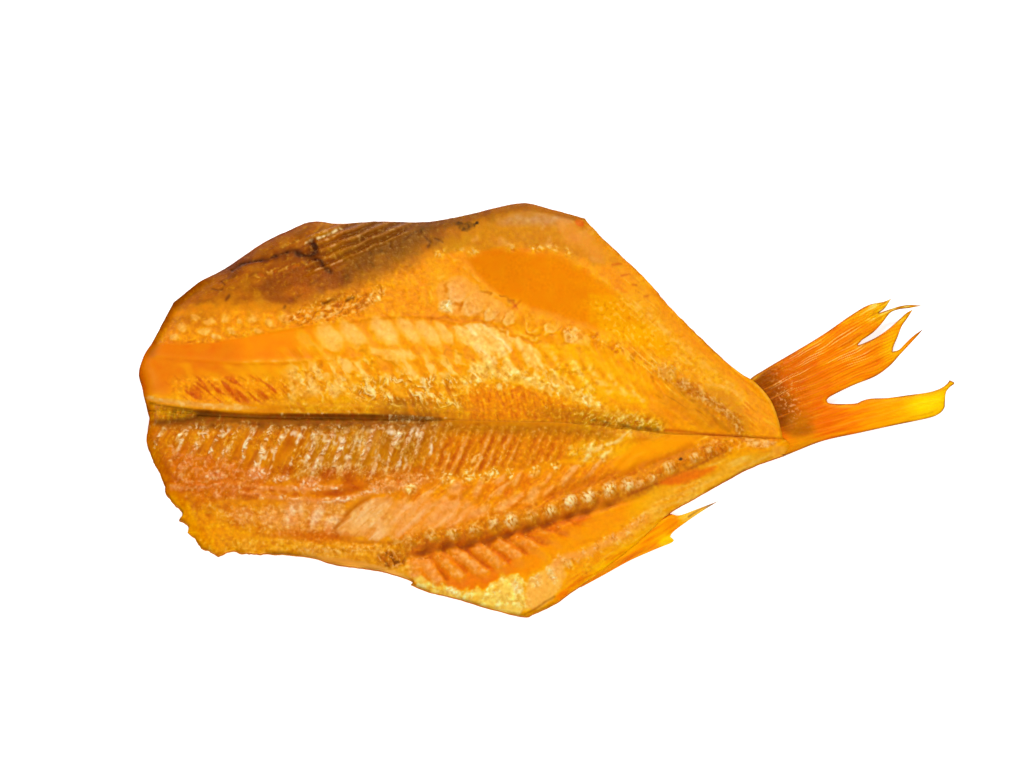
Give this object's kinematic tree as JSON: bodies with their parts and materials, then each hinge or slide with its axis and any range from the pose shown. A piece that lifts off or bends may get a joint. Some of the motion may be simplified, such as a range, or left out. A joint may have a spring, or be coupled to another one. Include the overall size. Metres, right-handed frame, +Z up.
{
  "type": "butterflied smoked fish",
  "caption": "Cold-smoked redfish without its head, split through the belly and laid open flesh side up, with its tail fin.",
  "frame": {"origin": "middle of the base of the fish's box, on the surface it lies on", "axes": "+X from the head cut to the tail fin, +Y to the belly edge of the far fillet, +Z up from the skin to the flesh"},
  "size_m": [0.3184, 0.1666, 0.0167],
  "materials": {
    "flesh": "moist smoked flesh",
    "skin": "scaled skin",
    "fin": "dry rayed fin"
  },
  "bodies": {
    "root": {"butterflied_redfish": "flesh"}
  },
  "joints": []
}
